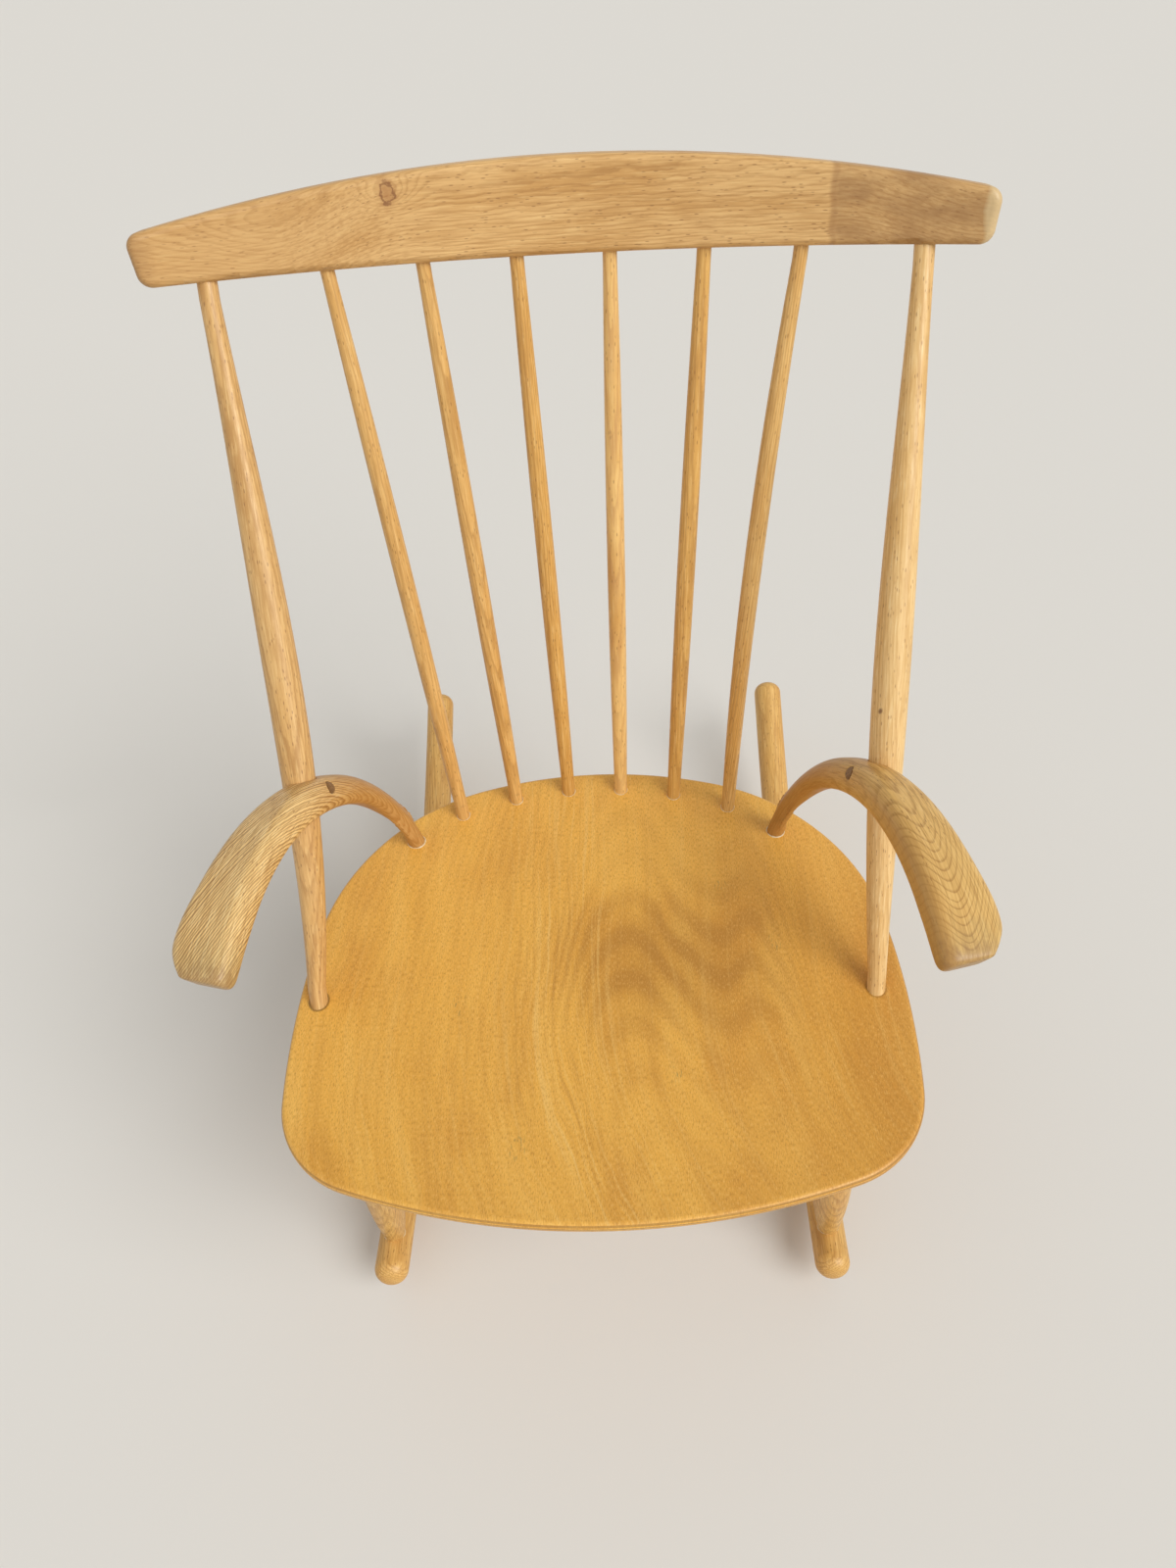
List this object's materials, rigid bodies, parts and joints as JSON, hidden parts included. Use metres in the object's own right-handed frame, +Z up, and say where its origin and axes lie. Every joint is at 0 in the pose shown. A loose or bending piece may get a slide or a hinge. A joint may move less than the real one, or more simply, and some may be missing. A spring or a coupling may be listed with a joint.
{
  "type": "spindle-back rocking chair",
  "caption": "Wooden rocking chair with a moulded plywood seat, horn arms, a fanned spindle back under a bent crest rail, turned legs and round bent rockers.",
  "frame": {"origin": "on the floor, midway between the rockers, on the line where they rest", "axes": "+Z up, -Y towards the front of the chair, +X to the right as seen from the front"},
  "size_m": [0.613, 0.8018, 0.8813],
  "materials": {
    "frame_wood": "satin lacquer",
    "crest_wood": "satin lacquer",
    "seat_plywood": "satin lacquer",
    "plug_wood": "satin lacquer",
    "screw_steel": "zinc"
  },
  "bodies": {
    "root": {"seat": "seat_plywood", "crest_rail": "crest_wood", "spindle_1": "frame_wood", "spindle_2": "frame_wood", "spindle_3": "frame_wood", "spindle_4": "frame_wood", "spindle_5": "frame_wood", "spindle_6": "frame_wood", "left_back_post": "frame_wood", "left_arm": "frame_wood", "left_arm_plug": "plug_wood", "left_arm_screw": "screw_steel", "left_rocker": "frame_wood", "front_left_leg": "frame_wood", "rear_left_leg": "frame_wood", "right_back_post": "frame_wood", "right_arm": "frame_wood", "right_arm_plug": "plug_wood", "right_arm_screw": "screw_steel", "right_rocker": "frame_wood", "front_right_leg": "frame_wood", "rear_right_leg": "frame_wood", "front_bearer": "frame_wood", "rear_bearer": "frame_wood"}
  },
  "joints": []
}
